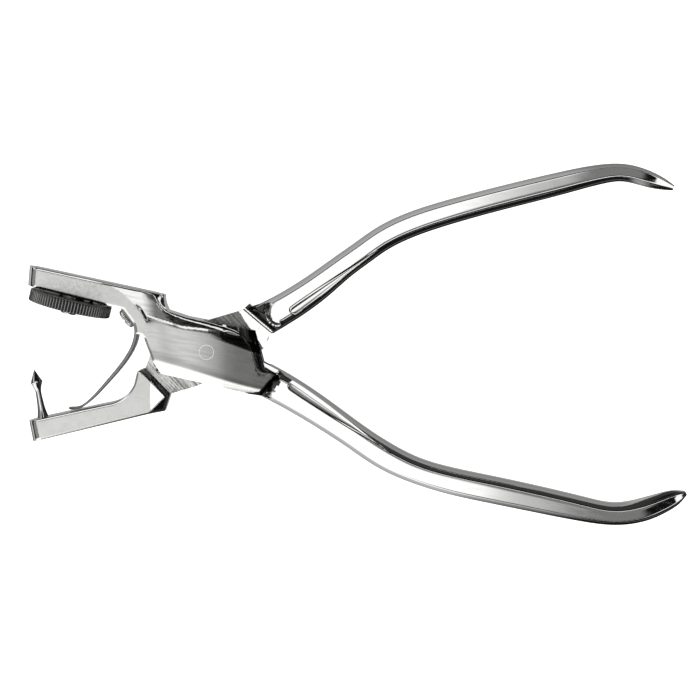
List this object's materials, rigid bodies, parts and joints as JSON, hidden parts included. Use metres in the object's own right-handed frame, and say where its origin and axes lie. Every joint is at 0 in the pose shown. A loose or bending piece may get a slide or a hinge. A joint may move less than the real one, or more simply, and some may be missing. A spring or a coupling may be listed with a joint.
{
  "type": "rotary hole punch pliers",
  "caption": "Hole punch pliers with a box joint: a sprung lower jaw drives a pointed punch up into a turning die wheel of graded holes on the upper jaw.",
  "frame": {"origin": "on the pivot axis, in the rear cheek's flat face", "axes": "+X towards the handles, +Y towards the wheel jaw's side, +Z along the pivot axis, out of the front cheek"},
  "size_m": [0.1709, 0.0937, 0.0212],
  "materials": {
    "polished_steel": "mirror polished, with satin jaw sides",
    "wheel_steel": "machined",
    "screw_steel": "bright",
    "spring_steel": "brushed"
  },
  "bodies": {
    "box_half": {"box_arm": "polished_steel", "pivot_pin": "polished_steel", "wheel_screw": "screw_steel", "wheel_washer": "screw_steel", "detent_spring": "spring_steel", "leaf_spring": "spring_steel", "spring_screw": "screw_steel"},
    "tongue_half": {"tongue_arm": "polished_steel", "punch_pin": "screw_steel"},
    "wheel": {"die_wheel": "wheel_steel"},
    "ball": {"detent_ball": "screw_steel"}
  },
  "joints": [
    {"name": "handle_pivot", "type": "hinge", "parent": "box_half", "child": "tongue_half", "pos_m": [0, 0, 0.0047], "axis": [0, 0, -1], "range_deg": [0, 23.6], "stiffness_Nm_per_rad": 0.28, "springref_deg": -10.31, "deforming": ["leaf_spring"]},
    {"name": "wheel_spin", "type": "hinge", "parent": "box_half", "child": "wheel", "pos_m": [-0.03537, 0.0126, 0.0047], "axis": [0.2419, 0.9703, 0], "continuous": true},
    {"name": "ball_slide", "type": "slide", "parent": "box_half", "child": "ball", "axis": [0.2419, 0.9703, 0], "range_m": [0, 0.0003], "stiffness_N_per_m": 200, "springref_m": -0.001, "deforming": ["detent_spring"]}
  ]
}
